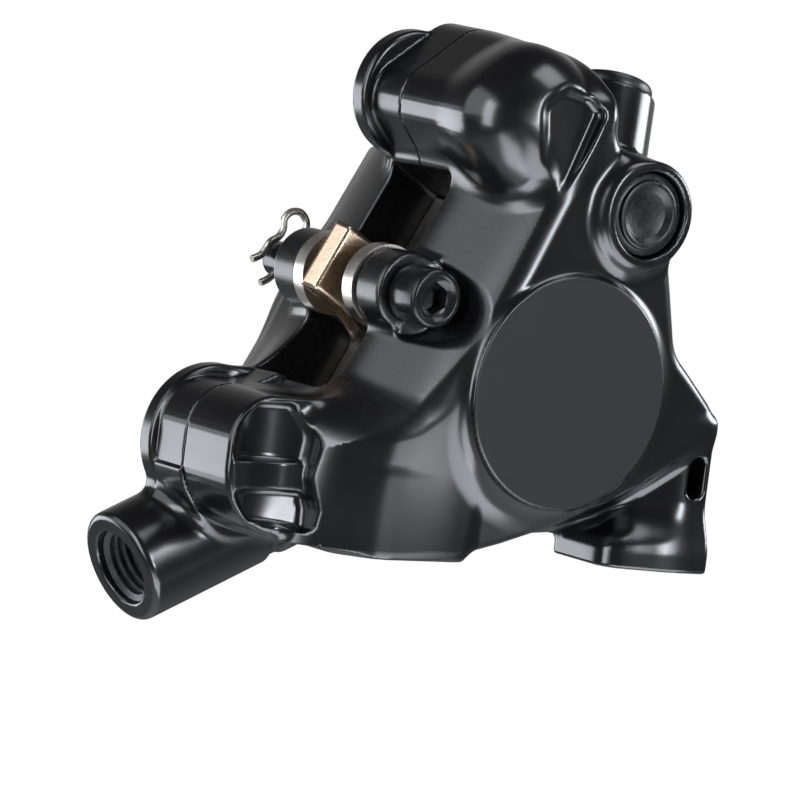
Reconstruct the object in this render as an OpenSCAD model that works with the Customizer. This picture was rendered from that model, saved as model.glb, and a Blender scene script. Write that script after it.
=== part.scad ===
// Flat mount two piston disc brake caliper for a bicycle.
// X runs back along the frame, Y towards the wheel, Z up from the mount face.
// The origin is midway between the two frame bolts, on the mount face.

/* [Mount] */
// Distance between the two frame bolts
bolt_spacing = 34; // [33:0.5:36]
// Core diameter of the tapped frame bolt holes
frame_hole_d = 4.2; // [3.3:0.1:5]
// Depth of the tapped frame bolt holes
frame_hole_depth = 11; // [7:0.5:12]
// Half width of the mount feet across the frame
foot_half_w = 7; // [6:0.1:7.2]
// Length of the front foot along the frame
front_foot_len = 15.7; // [14:0.1:17]
// Length of the rear post along the frame
rear_post_len = 10; // [9:0.1:11]
// Height of the shoulder on the rear post
post_h = 18.6; // [17:0.1:20]
// Width of the slot for the bolt retaining pin
pin_slot_w = 2; // [1.5:0.1:2.4]
// Height of the slot for the bolt retaining pin
pin_slot_h = 4.6; // [4:0.1:5.5]

/* [Rotor] */
// Distance from the frame bolts to the middle of the rotor
rotor_offset = 9.5; // [9.5:0.1:10.5]
// Diameter of the rotor that the caliper fits
rotor_d = 160; // [140:20:160]
// Height of the rotor rim above the piston axis
rotor_rise = 11; // [10:0.1:11.5]
// Width of the slot that the rotor runs in
rotor_slot_w = 4.4; // [4:0.1:5]

/* [Body] */
// Lean of the caliper from level
core_tilt = 61.7; // [60:0.1:63]
// Place of the piston axis along the frame
core_x = -1.3; // [-2:0.1:0]
// Height of the piston axis over the mount face
core_z = 19.6; // [19:0.1:20.5]
// Diameter of the flat round face of each piston housing
housing_d = 25.7; // [25:0.1:27]
// Distance from the rotor to the round face of a housing
housing_reach = 19.5; // [19:0.1:20.5]
// Height of the flat deck over the piston axis
deck_h = 17.9; // [17:0.1:18.5]
// Distance from the rotor to the outboard edge of the flat deck
deck_reach = 12.5; // [12:0.1:13]
// Distance from the rotor to the inboard edge of the flat deck
far_deck_reach = 9; // [8.8:0.1:9.6]
// Height of the long ridge over the piston axis
ridge_h = 13; // [12:0.1:14]
// Distance from the rotor to the long ridge
ridge_reach = 19; // [18:0.1:19.2]

/* [Body bolts] */
// Distance between the two bolts that join the halves
body_bolt_spread = 44.2; // [43.5:0.1:45]
// Height of the body bolts over the piston axis
body_bolt_h = 20.4; // [20:0.1:21]
// Diameter of the body bolts
body_bolt_d = 6; // [5:0.1:6.5]
// Diameter of the body bolt heads
body_bolt_head_d = 9.6; // [8.5:0.1:10]
// Height of the body bolt heads
body_bolt_head_h = 4.4; // [4:0.1:5]
// Hexagon size in the body bolt heads
body_bolt_hex = 4; // [3:0.5:5]
// Reach of the body bolts into the outboard half
body_bolt_reach = 6; // [5.5:0.1:6.4]
// Radius of the round collar at the upper body bolt head
upper_collar_r = 7.1; // [6.8:0.1:7.3]
// Radius of the round collar at the lower body bolt head
lower_collar_r = 8.4; // [8:0.1:8.6]
// Distance from the rotor to the end of the collars
collar_reach = 7.7; // [7.2:0.1:8]
// Distance from the rotor to the body bolt seats, sunk in the collars
seat_reach = 5.8; // [5.4:0.1:6]
// Distance from the rotor to the step below the collars
lobe_reach = 6.2; // [6:0.1:6.5]
// Reach of the lower bolt lobe into the outboard half
lower_lobe_reach = 8.9; // [8.4:0.1:9.2]
// Reach of the rounded end of the upper bolt lobe into the outboard half
crown_reach = 18.1; // [17:0.1:18.6]
// Depth of the pocket in the near end of the lower bolt lobe
lobe_pocket = 1.2; // [0.8:0.1:1.4]

/* [Pistons] */
// Diameter of the pistons
piston_d = 22; // [21:0.1:22.5]
// Length of the pistons
piston_len = 9.8; // [9:0.1:10]
// Diameter of the hollow in a piston
piston_hollow_d = 15; // [12:0.1:17]
// Depth of the hollow in a piston
piston_hollow = 7; // [5:0.1:7.5]
// Thickness of the piston seals
seal_w = 2.2; // [1.8:0.1:2.4]
// Depth of the piston seals around the piston
seal_h = 1.7; // [1.4:0.1:1.8]
// Distance of a seal from the mouth of its cylinder
seal_set = 2; // [1.5:0.1:2.5]

/* [Pads] */
// Length of the pad window in the deck
window_len = 28; // [27:0.1:28.4]
// Shift of the window along the caliper
window_shift = 0.7; // [0.4:0.1:0.9]
// Width of the pocket that holds both pads
pocket_w = 11.3; // [11.2:0.1:11.8]
// Thickness of a pad plate
plate_t = 1.8; // [1.6:0.1:2]
// Thickness of a friction lining
lining_t = 1.5; // [1:0.1:1.5]
// Height of a pad plate over the piston axis
plate_top = 11; // [10.6:0.1:12]
// Depth of a pad plate below the piston axis
plate_foot = 11.4; // [11:0.1:11.8]
// Radius of the ear on a pad plate
ear_r = 4.6; // [4.2:0.1:4.8]
// Side clearance of a pad in its pocket
pad_gap = 0.3; // [0.2:0.05:0.4]

/* [Pad axle] */
// Diameter of the pad axle
axle_d = 4; // [3.5:0.1:4.2]
// Place of the pad axle along the caliper
axle_x = 0.2; // [-0.4:0.1:0.6]
// Height of the pad axle over the piston axis
axle_h = 18.5; // [18:0.1:19]
// Diameter of the pad axle head
axle_head_d = 6.5; // [6:0.1:7]
// Length of the pad axle head
axle_head_len = 4.8; // [4.4:0.1:5.2]
// Hexagon size in the pad axle head
axle_hex = 3; // [2.5:0.5:3]
// Diameter of the two axle bosses
axle_boss_d = 8.6; // [8:0.1:9]
// Length of the outboard axle boss
near_boss_len = 4.7; // [4.3:0.1:5]
// Length of the inboard axle boss
far_boss_len = 4.4; // [4:0.1:4.6]
// Length of the axle tip past the inboard boss
axle_tip = 5.8; // [5:0.1:6.4]
// Radius of the hollow around the axle head
head_pocket_r = 5.4; // [5:0.1:5.8]
// Wire diameter of the split pin
clip_wire = 1.2; // [1:0.1:1.3]
// Radius of the split pin loop
clip_loop_r = 1.5; // [1.3:0.1:1.8]
// Length of the splayed split pin legs
clip_leg = 2.6; // [2:0.1:3]

/* [Pad spring] */
// Width of the spring strip
spring_w = 8; // [7:0.1:8.4]
// Thickness of the spring strip
spring_t = 0.4; // [0.3:0.05:0.5]
// Half width of the spring between its legs
spring_half = 2; // [1.8:0.1:2.2]
// Height of the spring roof over the axle
spring_rise = 5.7; // [5.3:0.1:6]
// Drop of each side of the spring roof
spring_roof = 1; // [0.8:0.1:1.4]
// Depth of the spring legs below the roof
spring_leg = 9.2; // [8.6:0.1:9.6]

/* [Hose port] */
// Outer diameter of the hose barrel
barrel_d = 12.8; // [12.2:0.1:13]
// Length of the hose barrel
barrel_len = 32; // [31:0.5:33]
// Slope of the hose barrel below level
barrel_slope = 25.5; // [23:0.5:28]
// Core diameter of the hose thread
hose_thread_d = 7.2; // [6.5:0.1:8]
// Depth of the hose thread
hose_thread_depth = 13; // [10:0.5:14]
// Mouth diameter of the hose port
hose_mouth_d = 8.6; // [8.2:0.1:9]

/* [Bleed valve] */
// Diameter of the valve boss
valve_boss_d = 11.9; // [11.5:0.1:12.5]
// Place of the valve along the frame
valve_x = 6.3; // [5.8:0.1:6.8]
// Height of the valve over the mount face
valve_z = 39.6; // [39:0.1:40]
// Diameter of the rubber valve cap
valve_cap_d = 9.4; // [8.8:0.1:9.8]
// Thickness of the rubber valve cap
valve_cap_t = 2; // [1.6:0.1:2.2]
// Diameter of the valve screw
valve_screw_d = 6; // [5.5:0.1:6.2]
// Length of the valve screw
valve_screw_len = 7; // [6:0.1:7.5]
// Hexagon size in the valve screw
valve_hex = 3; // [2.5:0.5:3]

/* [Bleed nipple] */
// Diameter of the nipple boss
nipple_boss_d = 10.7; // [10.2:0.1:11]
// Length of the nipple boss from the valve axis
nipple_boss_len = 12.6; // [12:0.1:13]
// Diameter of the nipple
nipple_d = 5; // [4.5:0.1:5.4]
// Height of the nipple in its boss
nipple_len = 4; // [3.5:0.1:4.2]
// Diameter of the bleed drilling
bleed_bore_d = 2; // [1.6:0.1:2.4]
// Diameter of the nipple cap rim
nipple_cap_d = 9.8; // [9.4:0.1:10]
// Height of the nipple cap rim
nipple_cap_h = 1.4; // [1:0.1:1.6]
// Wall of the nipple cap skirt
nipple_cap_wall = 1.2; // [1:0.1:1.3]

/* [Hidden] */
$fn = 64;
// Clearances: a sliding fit, a fixed fit and a thread
slide_fit = 0.05;
fixed_fit = 0.1;
thread_fit = 0.1;
// Play between the pads and the pocket walls, and between a piston and its pad
pad_play = 0.1;
// How far a cut runs past the face that it opens
past = 1;
corner_steps = 6;
hull_fn = 32;

// Planes across the caliper, from the rotor plane outboard
seam = rotor_offset;
slot_near = seam - rotor_slot_w / 2;
face_y = seam - housing_reach;
deck_y = seam - deck_reach;
ridge_y = seam - ridge_reach;
pocket_y = seam - pocket_w / 2;
pocket_far = seam + pocket_w / 2;
plate_y = pocket_y + pad_play;
plate_in = plate_y + plate_t;

rotor_z = rotor_rise - rotor_d / 2;
rotor_gap = 2;
rotor_cut_r = rotor_d / 2 + rotor_gap;

// Feet on the mount face
front_bolt_x = -bolt_spacing / 2;
rear_bolt_x = bolt_spacing / 2;
front_foot_x = front_bolt_x - front_foot_len / 2;
front_foot_end = front_foot_x + front_foot_len;
rear_post_x = rear_bolt_x - rear_post_len / 2;
rear_post_end = rear_post_x + rear_post_len;
front_arch_z = 0.9;
rear_arch_z = 2;

// A point of the caliper's own leaning frame, in the upright one
function core(x, z) = [
    core_x + x * cos(core_tilt) - z * sin(core_tilt),
    core_z + x * sin(core_tilt) + z * cos(core_tilt)
];
function in_space(p, y) = [p.x, y, p.y];
body_bolt_x = body_bolt_spread / 2;
low_bolt = core(-body_bolt_x, body_bolt_h);

black = "#1c1d20";
oxide = "#2a2b2e";
rubber = "#141416";
silver = "#c4c1ba";
bronze = "#a98a5c";
ceramic = "#d8d6cf";
lining_grey = "#5a5148";

// Rounded outlines: each corner is [point, radius]
function unit(v) = v / norm(v);
function turned(v, a) = [v.x * cos(a) - v.y * sin(a), v.x * sin(a) + v.y * cos(a)];
function signed_turn(u, v) = atan2(u.x * v.y - u.y * v.x, u * v);
function corner_arc(a, b, c, r) =
    r == 0 ? [b] :
    let (
        into = unit(b - a),
        out = unit(c - b),
        turn = signed_turn(into, out),
        reach = r * tan(abs(turn) / 2),
        start = b - into * reach,
        centre = start + turned(into, sign(turn) * 90) * r
    )
    [for (i = [0 : corner_steps]) centre + turned(start - centre, turn * i / corner_steps)];
function rounded(corners) =
    let (
        n = len(corners),
        point = [for (c = corners) c[0]]
    )
    [
        for (i = [0 : n - 1])
            each corner_arc(point[(i + n - 1) % n], point[i], point[(i + 1) % n], corners[i][1])
    ];

// Placing helpers
module along_y(y0, y1) {
    translate([0, y1, 0]) rotate([90, 0, 0]) linear_extrude(y1 - y0) children();
}
module at_core(x = 0, z = 0) {
    translate([core_x, 0, core_z]) rotate([0, -core_tilt, 0]) translate([x, 0, z]) children();
}
// A section in Y and Z, run along the caliper from one place to another
module along_core(from_x, to_x) {
    at_core(from_x) rotate([90, 0, 90]) linear_extrude(to_x - from_x) children();
}
module rod_y(d, y0, y1) {
    translate([0, y0, 0]) rotate([-90, 0, 0]) cylinder(d = d, h = y1 - y0);
}
module turned_y(profile) {
    rotate([-90, 0, 0]) rotate_extrude() polygon(profile);
}
module rod(p, q, d) {
    run = q - p;
    translate(p)
        rotate([0, acos(run.z / norm(run)), atan2(run.y, run.x)])
            cylinder(d = d, h = norm(run));
}
module ring_y(r, cord) {
    rotate([-90, 0, 0]) rotate_extrude() translate([r, 0]) circle(cord);
}
module hex_y(size, y0, y1) {
    along_y(y0, y1) circle(d = size / cos(30), $fn = 6);
}
// The inboard side is the outboard side, seen in the rotor plane
module inboard_side() {
    translate([0, 2 * seam, 0]) mirror([0, 1, 0]) children();
}
module body_bolt_places(sides = [-1, 1]) {
    for (side = sides) at_core(side * body_bolt_x, body_bolt_h) children();
}

// Bolt lobes at the two ends, shared by both halves
lobe_end = body_bolt_x + 9.8;
lobe_top = body_bolt_h + 6.7;
lobe_foot_x = window_shift + window_len / 2 + 0.3;
upper_lobe_corners = [
    [core(lobe_end, body_bolt_h + 0.9), 4.5],
    [core(body_bolt_x - 3.1, lobe_top), 2.6],
    [core(lobe_foot_x, deck_h), 1.6]
];
low_lobe_base = low_bolt.y - 8.4;
lower_lobe_corners = [
    [core(9.5 - body_bolt_x, deck_h), 6],
    [low_bolt + [-7.8, 6.7], 5],
    [[low_bolt.x - 7.8, low_lobe_base], 7]
];

// Outline of the outboard half, seen along Y
valve_boss_r = valve_boss_d / 2;
outboard_corners = concat(lower_lobe_corners, [
    [[front_foot_x - 1.2, low_lobe_base], 1],
    [[front_foot_x, 0], 0.6],
    [[front_foot_end, 0], 0.6],
    [[front_foot_end + 1.5, front_arch_z], 1],
    [[rear_post_x, rear_arch_z], 1],
    [[rear_post_x, 0], 0.5],
    [[rear_post_end, 0], 1],
    [[rear_post_end + 0.2, post_h - 0.8], 2.5],
    [[rear_post_end - 8, post_h + 5.8], 5],
    [[valve_x + valve_boss_r - 1, valve_z - 4.6], 1],
    [[valve_x + valve_boss_r - 2.2, valve_z + 2.6], 3],
    [[valve_x - 0.6, valve_z + 6], 1],
    [core(lobe_end, ridge_h - 3.5), 3]
], upper_lobe_corners);

// Outline of the inboard half, which has no feet
waist_x = housing_d / 2 + 3.6;
inboard_corners = concat(lower_lobe_corners, [
    [core(-body_bolt_x - 4, 9), 2],
    [core(-body_bolt_x, 3.5), 3],
    [core(-waist_x, -8), 6],
    [core(-9, -waist_x + 0.8), 6],
    [core(9, -waist_x + 0.8), 6],
    [core(waist_x, -8), 6],
    [core(body_bolt_x, 3.5), 6],
    [core(lobe_end, 9), 4]
], upper_lobe_corners);

// Slope from the edge of the deck down to the long ridge
module ridge_slope(from_x, to_x, edge_y) {
    along_core(from_x, to_x) polygon(rounded([
        [[slot_near, deck_h], 0],
        [[edge_y, deck_h], 4],
        [[ridge_y, ridge_h], 0.5],
        [[ridge_y + 1, 0], 0],
        [[slot_near, 0], 0]
    ]));
}

// Round piston housing with its flat face
module housing(base_r, base_y) {
    face_r = housing_d / 2;
    at_core() turned_y([
        [0, face_y], [face_r - 0.3, face_y], [face_r, face_y + 0.3], [face_r + 0.5, face_y + 1.2],
        [base_r, face_y + 4], [base_r, base_y], [0, base_y]
    ]);
}

// Outline of a pad plate without its ear; spread is added on all sides
pad_half = window_len / 2 - pad_gap;
function pad_corners(top, spread) = [
    [[window_shift - pad_half - spread, top], 0],
    [[window_shift - pad_half - spread, -plate_foot * 0.45], 2],
    [[window_shift - pad_half * 0.55, -plate_foot - spread], 3],
    [[window_shift + pad_half * 0.55, -plate_foot - spread], 3],
    [[window_shift + pad_half + spread, -plate_foot * 0.45], 2],
    [[window_shift + pad_half + spread, top], 0]
];

// Space for both pads, open through the deck
module pad_pocket() {
    at_core() along_y(pocket_y, pocket_far) polygon(rounded(pad_corners(lobe_top, pad_gap)));
}

// Cylinder of one piston with its seal groove
piston_y = plate_y - pad_play;
cylinder_d = piston_d + 2 * slide_fit;
cylinder_end = piston_y - piston_len - 0.5;
seal_end = pocket_y - seal_set;
groove_d = cylinder_d + 2 * seal_h;
module piston_cylinder() {
    at_core() {
        rod_y(cylinder_d, cylinder_end, pocket_y + past);
        rod_y(groove_d, seal_end - seal_w - fixed_fit, seal_end);
    }
}

module rotor_cut() {
    at_core(0, rotor_z) rod_y(2 * rotor_cut_r, slot_near, slot_near + rotor_slot_w);
}

// Drilled fluid ways
way_d = 2;
link_d = 1.8;
chamber_y = cylinder_end + 0.6;
crossover_x = body_bolt_x - 3.5;
crossover_z = body_bolt_h - 6.4;
crossover_at = core(crossover_x, crossover_z);
crossover_turn_y = seam - 3;
crossover_seat_d = 5.2;
crossover_seat_t = 1.4;
module crossover_way() {
    chamber = core(9, 2);
    turn = in_space(crossover_at, crossover_turn_y);
    rod(turn - [0, past / 2, 0], in_space(crossover_at, seam + past), way_d);
    rod(turn, in_space(chamber, chamber_y), link_d);
}

// Bleed nipple axis, rising from the inner end of the valve
nipple_dir = unit([0.27, 0.32, 0.91]);
nipple_root = [valve_x, seam - 9, valve_z];
function nipple_at(s) = nipple_root + nipple_dir * s;
nipple_cap_seat = 4.4;
nipple_skirt_d = nipple_cap_d - 1.6;

valve_face_y = face_y - 0.2;
valve_cap_y = valve_face_y + 0.5;
valve_seat_y = valve_cap_y + valve_cap_t;
valve_screw_y = valve_seat_y + 0.3;
valve_bore_end = valve_screw_y + valve_screw_len + 0.6;
module valve_cut() {
    valve_end = [valve_x, valve_bore_end, valve_z];
    translate([valve_x, 0, valve_z]) {
        rod_y(valve_cap_d + 2 * fixed_fit, valve_face_y - past, valve_seat_y);
        rod_y(valve_screw_d + 2 * slide_fit, valve_seat_y - past, valve_bore_end);
    }
    rod(valve_end - [0, way_d / 2, 0], in_space(core(9, -2), chamber_y), link_d);
}
module nipple_cut() {
    seat_d = nipple_skirt_d + 2 * fixed_fit;
    rod(nipple_at(nipple_boss_len - nipple_cap_seat), nipple_at(nipple_boss_len + past), seat_d);
    rod(nipple_root, nipple_at(nipple_boss_len), bleed_bore_d);
}

module frame_bolt_holes() {
    for (x = [front_bolt_x, rear_bolt_x])
        translate([x, 0, -past]) cylinder(d = frame_hole_d, h = frame_hole_depth + past);
}

// Slot for the retaining pin, across the rear post
module pin_slot() {
    slot_x = rear_post_end - 1.3;
    slot_z = 10.5;
    rise = pin_slot_h - pin_slot_w;
    for (end = [-1, 1])
        translate([slot_x, 0, slot_z + end * rise / 2])
            rod_y(pin_slot_w, -foot_half_w - past, slot_near + past);
    translate([slot_x - pin_slot_w / 2, -foot_half_w - past, slot_z - rise / 2])
        cube([pin_slot_w, foot_half_w + slot_near + 2 * past, rise]);
}

// Blend from the round face down to the front foot and the lower bolt
cheek_x = -9.5;
module front_cheek() {
    hull() {
        at_core() rod_y(housing_d + 0.6, face_y + 1, deck_y, $fn = hull_fn);
        at_core(cheek_x, ridge_h - 1) rod_y(2, ridge_y + 0.4, deck_y, $fn = hull_fn);
        translate([front_foot_x + 2, 0, low_bolt.y - 0.5]) rod_y(6, deck_y - 3, deck_y, $fn = hull_fn);
        translate([front_foot_x + 2, -foot_half_w + 1, 0.5])
            cube([front_foot_len - 2, foot_half_w + deck_y, 6]);
    }
}

// Blend from the round face to the shoulder of the rear post
module rear_cheek() {
    hull() {
        at_core() rod_y(housing_d + 0.6, face_y + 1.4, deck_y, $fn = hull_fn);
        translate([rear_post_end - 2.3, 0, post_h - 2.8]) rod_y(5, -foot_half_w, deck_y, $fn = hull_fn);
    }
}

// Rounded end of the upper lobe, outboard of its bolt
crown_r = [8.6, 6.2];
crown_y = seam - crown_reach;
// Height and inset of each step towards the rounded end
crown_steps = [[1.2, 1], [2.4, 2.4]];
module upper_crown() {
    at_core(body_bolt_x + 0.9, body_bolt_h - 3) turned_y(concat(
        [for (a = [0 : 10 : 90]) [crown_r[0] * sin(a), crown_y + crown_r[1] * (1 - cos(a))]],
        [[crown_r[0], slot_near - 3], [0, slot_near - 3]]
    ));
    for (step = crown_steps)
        along_y(deck_y - step[0], deck_y) offset(delta = -step[1]) polygon(rounded(concat(
            [[core(lobe_foot_x, ridge_h), 0], [core(lobe_end, ridge_h), 4]], upper_lobe_corners
        )));
}

// Three-cornered pocket between the crown and the ridge
module crown_pocket() {
    at_core() along_y(face_y - past, crown_y + 1) polygon(rounded([
        [[24.2, ridge_h + 6.8], 1.6],
        [[16.4, ridge_h + 0.2], 0.6],
        [[28.4, ridge_h + 0.5], 0.8],
        [[28.6, ridge_h + 2.4], 1.2],
        [[26.8, ridge_h + 5.2], 1.4]
    ]));
}

// Near end of the lower lobe, with the flank that runs from it to the front foot
lobe_face_y = seam - lower_lobe_reach;
module lower_lobe_cut() {
    linear_extrude(low_bolt.y + 10) polygon([
        [low_bolt.x - 12, lobe_face_y],
        [low_bolt.x + 0.3, lobe_face_y],
        [front_foot_x - 1.7, 3 - foot_half_w],
        [front_foot_x + 1.5, 0.1 - foot_half_w],
        [front_foot_x + 5.3, -foot_half_w - 1.6],
        [front_foot_x + 5.3, -foot_half_w - 3.5],
        [low_bolt.x - 12, -foot_half_w - 3.5]
    ]);
    along_y(lobe_face_y - past, lobe_face_y + lobe_pocket) polygon(rounded([
        for (c = [
            [-1.7, 5.8, 1.5], [-4.3, 5.8, 1.5], [-6.8, 3.6, 3], [-6.8, -5.2, 3], [-4.3, -7.4, 2],
            [3.4, -7.4, 0.8], [3.9, -4.9, 0.8], [1.2, -1.6, 3], [0.8, 2.8, 3]
        ]) [low_bolt + [c[0], c[1]], c[2]]
    ]));
}

// Flat ground between the ridge, the round face and the valve boss
module front_plate() {
    along_y(face_y + 1.7, deck_y) polygon(rounded([
        [core(-8, ridge_h - 0.5), 0],
        [core(0, 0), 0],
        [core(14, -8), 2],
        [[valve_x + valve_boss_r - 1.2, valve_z - 5], 2],
        [[valve_x + valve_boss_r - 1.6, valve_z + 3], 3],
        [core(lobe_end - 3, ridge_h - 3), 2],
        [core(lobe_end - 4, ridge_h - 0.5), 0]
    ]));
}

// Sloping hollow under the housing and in front of the rear post
skirt_y = -8;
module underside_cut() {
    lean = 24;
    run = 40;
    depth = 30;
    start_x = front_foot_end - 1.8;
    translate([0, skirt_y, 0]) rotate([-lean, 0, 0]) along_y(-10, run) polygon([
        [start_x, -depth],
        for (p = [[start_x, 1.8], [0.3, 5.8], [11.9, 10.3], [run, 26.2]]) [p.x, p.y * cos(lean)],
        [run, -depth]
    ]);
}

rear_foot_h = 2.2;
rear_foot_x = rear_post_x - 2.1;
module feet() {
    linear_extrude(8) polygon(rounded([
        [[front_foot_x, slot_near], 0],
        [[front_foot_x, 4.6 - foot_half_w], 3],
        [[front_foot_x + 3.9, 1.1 - foot_half_w], 4],
        [[front_foot_end, 1.1 - foot_half_w], 1.2],
        [[front_foot_end, slot_near], 0]
    ]));
    linear_extrude(rear_foot_h) polygon(rounded([
        [[rear_foot_x, 3.6], 0.5],
        [[rear_foot_x, 1.4 - foot_half_w], 2.5],
        [[rear_post_x + 4, 0.2 - foot_half_w], 6],
        [[rear_post_end, 0.2 - foot_half_w], 0.6],
        [[rear_post_end, 3.6], 0]
    ]));
    linear_extrude(post_h - 1.2) polygon(rounded([
        [[rear_post_x + 1, slot_near], 0],
        [[rear_post_x + 1, 3.4 - foot_half_w], 3],
        [[rear_post_x + 6.6, 0.2 - foot_half_w], 6],
        [[rear_post_end, -foot_half_w], 0.6],
        [[rear_post_end, slot_near], 0]
    ]));
}

module outboard_half() {
    color(black) difference() {
        union() {
            difference() {
                union() {
                    along_y(deck_y, seam) polygon(rounded(outboard_corners));
                    front_cheek();
                    rear_cheek();
                }
                underside_cut();
                lower_lobe_cut();
            }
            feet();
            upper_crown();
            front_plate();
            ridge_slope(cheek_x - 0.5, lobe_end - 4, deck_y);
            housing(housing_d / 2 + 2.4, deck_y);
            at_core(axle_x, axle_h) rod_y(axle_boss_d, pocket_y - near_boss_len, pocket_y);
            translate([valve_x, 0, valve_z]) rod_y(valve_boss_d, valve_face_y, deck_y + past);
            rod(nipple_root, nipple_at(nipple_boss_len), nipple_boss_d);
        }
        crown_pocket();
        rotor_cut();
        pad_pocket();
        piston_cylinder();
        at_core(axle_x, axle_h) {
            rod_y(axle_d + 2 * thread_fit, face_y, pocket_y + past);
            rod_y(2 * head_pocket_r, face_y - past, pocket_y - near_boss_len);
        }
        body_bolt_places() rod_y(body_bolt_d + 2 * thread_fit, seam - body_bolt_reach - 0.5, seam + past);
        crossover_way();
        valve_cut();
        nipple_cut();
        frame_bolt_holes();
        pin_slot();
    }
}

// Hose barrel, sloping down and forward out of the inboard half
barrel_dir = [-cos(barrel_slope), 0, -sin(barrel_slope)];
barrel_mouth = [low_bolt.x - 9.7, seam + barrel_d / 2 + 0.1, low_bolt.y - 15.1];
function barrel_at(s) = barrel_mouth - barrel_dir * s;
module barrel() {
    edge = 0.8;
    rod(barrel_at(edge), barrel_at(barrel_len), barrel_d);
    rod(barrel_at(0), barrel_at(barrel_len), barrel_d - 2 * edge);
}
module hose_cut() {
    chamfer = (hose_mouth_d - hose_thread_d) / 2;
    chamber = in_space(core(-9, 1), 2 * seam - chamber_y);
    rod(barrel_at(-past), barrel_at(hose_thread_depth), hose_thread_d);
    rod(barrel_at(-past), barrel_at(chamfer), hose_mouth_d);
    turn = barrel_len - 6;
    rod(barrel_at(hose_thread_depth - past), barrel_at(turn + past), way_d);
    rod(barrel_at(turn), chamber, link_d);
}

module inboard_half() {
    color(black) difference() {
        union() {
            along_y(seam, seam + lobe_reach) polygon(rounded(inboard_corners));
            body_bolt_places([1]) rod_y(2 * upper_collar_r, seam + lobe_reach - past, seam + collar_reach);
            body_bolt_places([-1]) rod_y(2 * lower_collar_r, seam + lobe_reach - past, seam + collar_reach);
            inboard_side() {
                ridge_slope(1.5 - waist_x, waist_x + 1.8, seam - far_deck_reach);
                housing(housing_d / 2 + 2.9, seam - lobe_reach + past);
            }
            at_core(axle_x, axle_h) rod_y(axle_boss_d, pocket_far, pocket_far + far_boss_len);
            barrel();
        }
        rotor_cut();
        pad_pocket();
        inboard_side() {
            piston_cylinder();
            crossover_way();
        }
        at_core(axle_x, axle_h) rod_y(axle_d + 2 * thread_fit, pocket_far - past, seam + housing_reach);
        at_core(crossover_x, crossover_z) rod_y(crossover_seat_d, seam - past, seam + crossover_seat_t);
        body_bolt_places() {
            rod_y(body_bolt_d + 2 * thread_fit, seam - past, seam + seat_reach + past);
            rod_y(body_bolt_head_d + 1.4, seam + seat_reach, seam + housing_reach + past);
        }
        hose_cut();
    }
}

module body_bolts() {
    head_y = seam + seat_reach;
    top_y = head_y + body_bolt_head_h;
    r = body_bolt_head_d / 2;
    edge = 0.6;
    color(oxide) body_bolt_places() difference() {
        union() {
            rod_y(body_bolt_d, seam - body_bolt_reach, head_y + past);
            turned_y([[0, head_y], [r, head_y], [r, top_y - edge], [r - edge, top_y], [0, top_y]]);
        }
        hex_y(body_bolt_hex, head_y + body_bolt_head_h / 2, top_y + past);
    }
}

module crossover_seal() {
    cord = crossover_seat_t / 2 - 0.02;
    color(rubber) at_core(crossover_x, crossover_z)
        translate([0, seam + crossover_seat_t / 2, 0])
            ring_y(crossover_seat_d / 2 - cord - fixed_fit, cord);
}

// Piston cup, hollow towards its pad
module piston() {
    rim = 0.5;
    end_y = piston_y - piston_len;
    r = piston_d / 2;
    hollow_r = piston_hollow_d / 2;
    hollow_y = piston_y - piston_hollow;
    at_core() turned_y([
        [0, end_y], [r - rim, end_y], [r, end_y + rim], [r, piston_y - rim], [r - rim, piston_y],
        [hollow_r, piston_y], [hollow_r, hollow_y], [0, hollow_y]
    ]);
}
module outboard_piston() {
    color(ceramic) piston();
}
module inboard_piston() {
    color(ceramic) inboard_side() piston();
}

module piston_seal() {
    inner_r = piston_d / 2 + slide_fit;
    outer_r = groove_d / 2 - slide_fit;
    at_core() turned_y([
        [inner_r, seal_end - seal_w], [outer_r, seal_end - seal_w],
        [outer_r, seal_end - fixed_fit], [inner_r, seal_end - fixed_fit]
    ]);
}
module outboard_piston_seal() {
    color(rubber) piston_seal();
}
module inboard_piston_seal() {
    color(rubber) inboard_side() piston_seal();
}

// Pad plate with the ear that hangs on the axle
module pad_plate() {
    neck = ear_r * 0.8;
    at_core() difference() {
        union() {
            along_y(plate_y, plate_in) polygon(rounded(concat(
                [[[axle_x + neck, plate_top], 2], [[axle_x + neck, axle_h], 0]],
                [[[axle_x - neck, axle_h], 0], [[axle_x - neck, plate_top], 2]],
                pad_corners(plate_top, 0)
            )));
            translate([axle_x, 0, axle_h]) rod_y(2 * ear_r, plate_y, plate_in);
        }
        translate([axle_x, 0, axle_h]) rod_y(axle_d + 4 * fixed_fit, plate_y - past, plate_in + past);
    }
}
module pad_lining() {
    inset = 1.2;
    at_core() along_y(plate_in, plate_in + lining_t) polygon(rounded(pad_corners(rotor_rise - 1, -inset)));
}
module outboard_pad_plate() {
    color(silver) pad_plate();
}
module outboard_pad_lining() {
    color(lining_grey) pad_lining();
}
module inboard_pad_plate() {
    color(silver) inboard_side() pad_plate();
}
module inboard_pad_lining() {
    color(lining_grey) inboard_side() pad_lining();
}

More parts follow.
